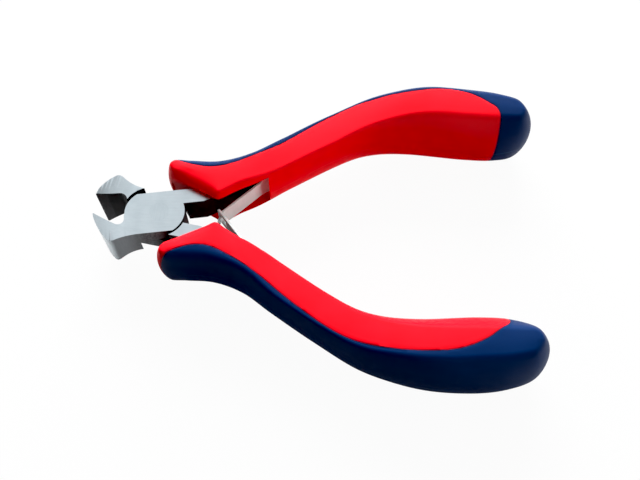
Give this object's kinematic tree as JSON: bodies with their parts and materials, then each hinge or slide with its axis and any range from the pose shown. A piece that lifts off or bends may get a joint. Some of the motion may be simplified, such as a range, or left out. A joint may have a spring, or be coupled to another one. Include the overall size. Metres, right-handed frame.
{
  "type": "end cutting nippers",
  "caption": "End cutting nippers: flared jaws on a riveted lap joint, interlocked leaf springs that push the handles open, and curved moulded grips in red and blue.",
  "frame": {"origin": "centre of the rivet's lower end, on the pivot axis", "axes": "+Z along the pivot axis, +X towards the handles, +Y towards the handle of the half whose lap plate lies on top"},
  "size_m": [0.1133, 0.0842, 0.0218],
  "materials": {
    "steel": "polished",
    "rivet_steel": "polished",
    "spring_steel": "satin",
    "red_grip": "satin",
    "blue_grip": "satin"
  },
  "bodies": {
    "upper": {"half_upper": "steel", "rivet": "rivet_steel", "core_upper": "red_grip", "cover_upper": "blue_grip", "leaf_upper": "spring_steel"},
    "lower": {"half_lower": "steel", "core_lower": "red_grip", "cover_lower": "blue_grip", "leaf_lower": "spring_steel"}
  },
  "joints": [
    {"name": "pivot", "type": "hinge", "parent": "upper", "child": "lower", "pos_m": [0, 0, 0.0045], "axis": [0, 0, 1], "range_deg": [0, 19], "stiffness_Nm_per_rad": 1.2, "springref_deg": -2.86, "deforming": ["leaf_upper", "leaf_lower"]}
  ]
}
